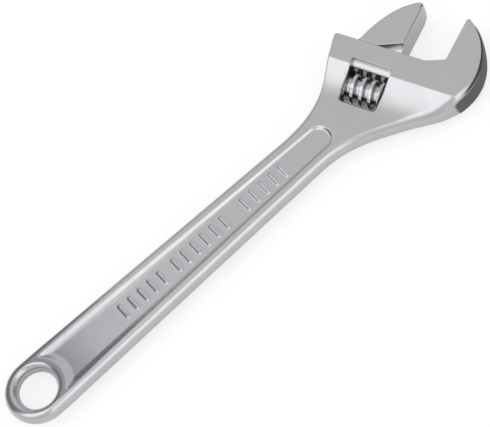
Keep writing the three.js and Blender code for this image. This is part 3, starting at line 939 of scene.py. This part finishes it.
class Nodes:
    """A node tree, with one short call for each kind of node that is used here."""

    def __init__(self, tree):
        self.tree = tree
        self.coordinates = self.add("ShaderNodeTexCoord").outputs

    def add(self, kind, **settings):
        node = self.tree.nodes.new(kind)
        for key, value in settings.items():
            setattr(node, key, value)
        return node

    def link(self, source, target):
        self.tree.links.new(source, target)

    def noise(self, scale, detail=3.0, stretch=(1, 1, 1), turn=0.0, roughness=0.5):
        mapping = self.add("ShaderNodeMapping")
        mapping.inputs["Scale"].default_value = stretch
        mapping.inputs["Rotation"].default_value = (0, 0, turn)
        self.link(self.coordinates["Object"], mapping.inputs["Vector"])
        noise = self.add("ShaderNodeTexNoise")
        noise.inputs["Scale"].default_value = scale
        noise.inputs["Detail"].default_value = detail
        noise.inputs["Roughness"].default_value = roughness
        self.link(mapping.outputs["Vector"], noise.inputs["Vector"])
        return noise.outputs["Fac"]

    def ramp(self, source, low, high, to_low=0.0, to_high=1.0, interpolation="LINEAR"):
        node = self.add("ShaderNodeMapRange", interpolation_type=interpolation)
        sockets = ("From Min", "From Max", "To Min", "To Max")
        for socket, value in zip(sockets, (low, high, to_low, to_high)):
            node.inputs[socket].default_value = value
        self.link(source, node.inputs["Value"])
        return node.outputs["Result"]

    def calculate(self, operation, a, b):
        node = self.add("ShaderNodeMath", operation=operation)
        for socket, value in zip(node.inputs, (a, b)):
            if isinstance(value, (int, float)):
                socket.default_value = value
            else:
                self.link(value, socket)
        return node.outputs["Value"]

    def blend(self, share, a, b):
        node = self.add("ShaderNodeMix", data_type="RGBA")
        self.link(share, node.inputs["Factor"])
        for socket, value in ((node.inputs[6], a), (node.inputs[7], b)):
            if isinstance(value, tuple):
                socket.default_value = (*value, 1)
            else:
                self.link(value, socket)
        return node.outputs[2]

    def attribute(self, name):
        return self.add("ShaderNodeAttribute", attribute_name=name).outputs["Fac"]

    def bump(self, height, distance, strength=1.0, after=None):
        node = self.add("ShaderNodeBump")
        node.inputs["Distance"].default_value = distance
        node.inputs["Strength"].default_value = strength
        self.link(height, node.inputs["Height"])
        if after is not None:
            self.link(after, node.inputs["Normal"])
        return node.outputs["Normal"]


class Material(Nodes):
    """A new material's node tree."""

    def __init__(self, name):
        self.material = bpy.data.materials.new(name)
        self.material.use_nodes = True
        super().__init__(self.material.node_tree)
        self.shader = self.tree.nodes["Principled BSDF"]


SATIN, SATIN_DULL = (0.60, 0.60, 0.61), (0.565, 0.565, 0.575)
BRIGHT, BRIGHT_DULL = (0.64, 0.64, 0.65), (0.58, 0.58, 0.59)
PIN_STEEL, PIN_STEEL_DULL = (0.45, 0.45, 0.46), (0.36, 0.36, 0.36)
SPRING_STEEL, SPRING_STEEL_DULL = (0.38, 0.38, 0.4), (0.26, 0.26, 0.27)
# The near black that the chrome's colour is blended towards as painted shade.
PAINTED_SHADE_COLOUR = (0.06, 0.055, 0.05)


def chrome(name, bright, dull, roughness, scratch_turn=0.0):
    """Satin chrome plate: faint waviness of the polished forging, fine scratches along one way and
    across it, and smudges in its gloss. Where a mesh attribute says so, its colour is darkened as
    painted shade."""
    nodes = Material(name)
    smudge = nodes.noise(90, 4, roughness=0.6)
    fine_scratch = nodes.noise(900, 2, stretch=(0.06, 1.6, 1), turn=scratch_turn)
    cross_scratch = nodes.noise(700, 2, stretch=(1.2, 0.08, 1), turn=scratch_turn + 0.5)
    scratch = nodes.calculate("MAXIMUM", nodes.ramp(fine_scratch, 0.64, 0.74),
                              nodes.ramp(cross_scratch, 0.70, 0.78))
    colour = nodes.blend(nodes.ramp(smudge, 0.3, 0.75), bright, dull)
    rough = nodes.ramp(smudge, 0.25, 0.8, roughness - 0.03, roughness + 0.06)
    rough = nodes.calculate("ADD", rough, nodes.ramp(scratch, 0, 1, 0, 0.05))
    # Painted shade: the meshes' attribute darkens the colour towards near black in the window, the thread's
    # valleys and the rack's grooves, and it also makes the gloss rougher.
    painted_shade = nodes.attribute("painted_shade")
    colour = nodes.blend(nodes.calculate("MULTIPLY", painted_shade, 0.75), colour, PAINTED_SHADE_COLOUR)
    rough = nodes.calculate("ADD", rough, nodes.calculate("MULTIPLY", painted_shade, 0.2))
    wave = nodes.noise(220, 2)
    normal = nodes.bump(wave, 0.00002, 0.35)
    normal = nodes.bump(fine_scratch, 0.000003, 0.4, after=normal)
    nodes.link(colour, nodes.shader.inputs["Base Color"])
    nodes.link(rough, nodes.shader.inputs["Roughness"])
    nodes.link(normal, nodes.shader.inputs["Normal"])
    nodes.shader.inputs["Metallic"].default_value = 1.0
    return nodes.material


def turned_steel(name, bright, dull, roughness):
    """Bare turned steel with rings from the lathe and a thin film of old oil."""
    nodes = Material(name)
    rings = nodes.noise(2600, 1, stretch=(1, 0.02, 0.02), turn=math.atan2(CLOSING[1], CLOSING[0]))
    film = nodes.noise(160, 4)
    colour = nodes.blend(nodes.ramp(film, 0.35, 0.7), bright, dull)
    rough = nodes.ramp(rings, 0.3, 0.7, roughness - 0.06, roughness + 0.1)
    normal = nodes.bump(rings, 0.00001, 0.7)
    nodes.link(colour, nodes.shader.inputs["Base Color"])
    nodes.link(rough, nodes.shader.inputs["Roughness"])
    nodes.link(normal, nodes.shader.inputs["Normal"])
    nodes.shader.inputs["Metallic"].default_value = 1.0
    return nodes.material


def floor_paper(name, grey, glow):
    nodes = Material(name)
    grain = nodes.noise(60, 3)
    colour = nodes.blend(grain, (grey, grey, grey), (grey + 0.03, grey + 0.03, grey + 0.03))
    nodes.link(colour, nodes.shader.inputs["Base Color"])
    nodes.shader.inputs["Roughness"].default_value = 0.95
    nodes.shader.inputs["Specular IOR Level"].default_value = 0.1
    nodes.shader.inputs["Emission Color"].default_value = (1, 1, 1, 1)
    nodes.shader.inputs["Emission Strength"].default_value = glow
    return nodes.material


# ---------------------------------------------------------------- floor, light and camera


# Half the width of the floor's sheets and how high each lies, in metres.
FLOOR_HALF = 4.0
SEEN_Z = -0.0003
REFLECTED_Z = -0.0001


def sheet_on_floor(name, height, material):
    half = FLOOR_HALF
    corners = [(-half, -half, 0), (half, -half, 0), (half, half, 0), (-half, half, 0)]
    sheet = mesh_object(name, np.array(corners) / MM, [(0, 1, 2, 3)])
    sheet.location.z = height
    sheet.data.materials.append(material)
    return sheet


def make_floor():
    """A lit white sheet that the camera sees, and a greyer one just above it that reflections see."""
    seen = sheet_on_floor("floor_sheet", SEEN_Z, floor_paper("floor_paper", 0.3, 0.72))
    seen.visible_glossy = False
    reflected = sheet_on_floor("floor_reflected", REFLECTED_Z, floor_paper("grey_paper", 0.6, 0.26))
    reflected.visible_camera = False
    reflected.visible_diffuse = False
    reflected.visible_shadow = False


# Felt screens that only reflections see, in metres. Two stand on the floor, beside the hang hole's end
# and beside the jaws. A flag hangs above the hang hole's end, between two of its corners.
HOLE_SCREEN = [(-0.065, 0.24), (-0.24, 0.20), (-0.34, 0.07)]
HOLE_SCREEN_HEIGHT = 0.27
JAW_SCREEN = [(0.16, -0.20), (0.21, -0.10), (0.25, 0.02)]
JAW_SCREEN_HEIGHT = 0.12
# A dark sheet on the floor beside the fixed jaw, seen only in reflections: painted shadow on the floor,
# which shows in the jaw's side wall. Its corners are in the wrench's plan, in millimetres.
JAW_SHEET = [(250, -30), (246, -80), (345, -80), (345, 0), (285, 0)]
FLAG_LOW = (-0.60, 0.06)
FLAG_HIGH = (-0.10, 0.34)
FLAG_Z = 0.30
# The felts are of different greys, and glow a little so that their grey is even.
HOLE_SCREEN_GLOW = (0.17, 0.17, 0.18)
JAW_SCREEN_GLOW = (0.03, 0.03, 0.03)
JAW_SHEET_GLOW = (0.13, 0.13, 0.135)
FLAG_GLOW = (0.27, 0.255, 0.335)


def felt(name, grey, glow):
    nodes = Material(name)
    colour = nodes.blend(nodes.noise(300, 3), (grey, grey, grey), (grey + 0.02, grey + 0.02, grey + 0.02))
    nodes.link(colour, nodes.shader.inputs["Base Color"])
    nodes.shader.inputs["Roughness"].default_value = 1.0
    nodes.shader.inputs["Emission Color"].default_value = (*glow, 1)
    nodes.shader.inputs["Emission Strength"].default_value = 1.0
    return nodes.material


def reflected_only(screen):
    screen.visible_camera = False
    screen.visible_diffuse = False
    screen.visible_shadow = False


def standing_screen(name, line, height, material):
    """A folded upright screen along a line on the floor, in metres."""
    corners = [(x, y, z) for x, y in line for z in (0, height)]
    walls = [(2 * i, 2 * i + 2, 2 * i + 3, 2 * i + 1) for i in range(len(line) - 1)]
    screen = mesh_object(name, np.array(corners) / MM, walls)
    screen.data.materials.append(material)
    reflected_only(screen)


def flat_screen(name, corners, material):
    """A flat screen with these corners, in millimetres."""
    screen = mesh_object(name, corners, [tuple(range(len(corners)))])
    screen.data.materials.append(material)
    reflected_only(screen)


def make_screens():
    charcoal = felt("charcoal_felt", 0.05, HOLE_SCREEN_GLOW)
    standing_screen("hole_screen", HOLE_SCREEN, HOLE_SCREEN_HEIGHT, charcoal)
    black = felt("black_felt", 0.03, JAW_SCREEN_GLOW)
    standing_screen("jaw_screen", JAW_SCREEN, JAW_SCREEN_HEIGHT, black)
    # The sheet beside the jaw is painted shadow, which only the jaw's reflections see.
    sheet = [(*plan(x, y), 0.0) for x, y in JAW_SHEET]
    flat_screen("jaw_sheet", np.array(sheet), felt("painted_shadow_sheet", 0.05, JAW_SHEET_GLOW))
    (x0, y0), (x1, y1) = FLAG_LOW, FLAG_HIGH
    flag = [(x0, y0, FLAG_Z), (x1, y0, FLAG_Z), (x1, y1, FLAG_Z), (x0, y1, FLAG_Z)]
    flat_screen("flag_screen", np.array(flag) / MM, felt("grey_felt", 0.1, FLAG_GLOW))


# The sky's colour, the least share of it that is left anywhere, and the soft boxes of the studio: the
# way to each from the wrench, the half angles of its core and of its soft edge in degrees, and how
# much it adds to the sky. A negative one is a dark screen.
SKY = (0.73, 0.73, 0.742)
DARKEST_SKY = 0.1
SOFT_BOXES = [
    ((-0.50, 0.20, 0.84), 23, 39, 0.95),
    ((0.14, -0.50, 0.865), 9, 17, 0.85),
    ((0.14, -0.87, 0.48), 15, 28, 0.75),
    ((0.14, 0.99, 0.03), 20, 45, -0.25),
]


def make_sky():
    world = bpy.data.worlds.new("studio")
    bpy.context.scene.world = world
    world.use_nodes = True
    nodes = Nodes(world.node_tree)
    level = 1.0
    for direction, core, edge, strength in SOFT_BOXES:
        dot = nodes.add("ShaderNodeVectorMath", operation="DOT_PRODUCT")
        nodes.link(nodes.coordinates["Generated"], dot.inputs[0])
        dot.inputs[1].default_value = Vector(direction).normalized()
        low, high = math.cos(math.radians(edge)), math.cos(math.radians(core))
        glow = nodes.ramp(dot.outputs["Value"], low, high, 0, strength, "SMOOTHSTEP")
        level = nodes.calculate("ADD", glow, level)
    level = nodes.calculate("MAXIMUM", level, DARKEST_SKY)
    background = nodes.tree.nodes["Background"]
    background.inputs["Color"].default_value = (*SKY, 1)
    nodes.link(level, background.inputs["Strength"])


# The camera looks along a line tilted from straight above, turned about the vertical and rolled about
# the line itself. Its distance and target are in metres and its lens is in millimetres.
VIEW_TILT = math.radians(30)
VIEW_TURN = math.radians(-105.9)
VIEW_ROLL = math.radians(-62.5)
VIEW_DISTANCE = 1.0028
LENS = 146.94
VIEW_TARGET = Vector((0.00066, -0.00183, MID_Z * MM))


def make_camera():
    """A long lens, tilted a little from straight above."""
    towards = Vector((math.cos(VIEW_TURN), math.sin(VIEW_TURN), 0))
    up = Vector((0, 0, 1))
    back = math.cos(VIEW_TILT) * up + math.sin(VIEW_TILT) * towards
    across = math.cos(VIEW_TILT) * towards - math.sin(VIEW_TILT) * up
    side = up.cross(towards)
    right = math.cos(VIEW_ROLL) * across - math.sin(VIEW_ROLL) * side
    above = math.sin(VIEW_ROLL) * across + math.cos(VIEW_ROLL) * side
    camera = bpy.data.objects.new("camera", bpy.data.cameras.new("camera"))
    bpy.context.scene.collection.objects.link(camera)
    place = VIEW_TARGET + VIEW_DISTANCE * back
    camera.matrix_world = Matrix((
        (right.x, above.x, back.x, place.x),
        (right.y, above.y, back.y, place.y),
        (right.z, above.z, back.z, place.z),
        (0, 0, 0, 1),
    ))
    camera.data.sensor_fit = "HORIZONTAL"
    camera.data.lens = LENS
    camera.data.clip_start = 0.05
    camera.data.clip_end = 20
    bpy.context.scene.camera = camera


# ---------------------------------------------------------------- assembly


def add_piece(piece, body, node, material):
    piece.data.materials.clear()
    piece.data.materials.append(material)
    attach(piece, body)
    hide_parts(node)


make_camera()
make_sky()
make_floor()
make_screens()

body = make_body()
jaw = make_jaw()
worm = make_worm()
paint_groove_shade(jaw)
paint_window_shade(body)
paint_valley_shade(worm)

satin = chrome("satin_chrome", SATIN, SATIN_DULL, 0.19)
jaw_satin = chrome("jaw_satin_chrome", SATIN, SATIN_DULL, 0.18, scratch_turn=1.2)
bright_chrome = chrome("bright_chrome", BRIGHT, BRIGHT_DULL, 0.14, scratch_turn=0.4)
add_piece(body, "body", "wrench_body", satin)
add_piece(jaw, "jaw", "movable_jaw", jaw_satin)
add_piece(worm, "worm", "adjusting_worm", bright_chrome)
pin_steel = turned_steel("pin_steel", PIN_STEEL, PIN_STEEL_DULL, 0.34)
add_piece(make_pin(), "body", "worm_pin", pin_steel)
spring_steel = turned_steel("spring_steel", SPRING_STEEL, SPRING_STEEL_DULL, 0.3)
add_piece(make_spring(), "body", "worm_spring", spring_steel)

bpy.context.scene.view_settings.view_transform = "Standard"
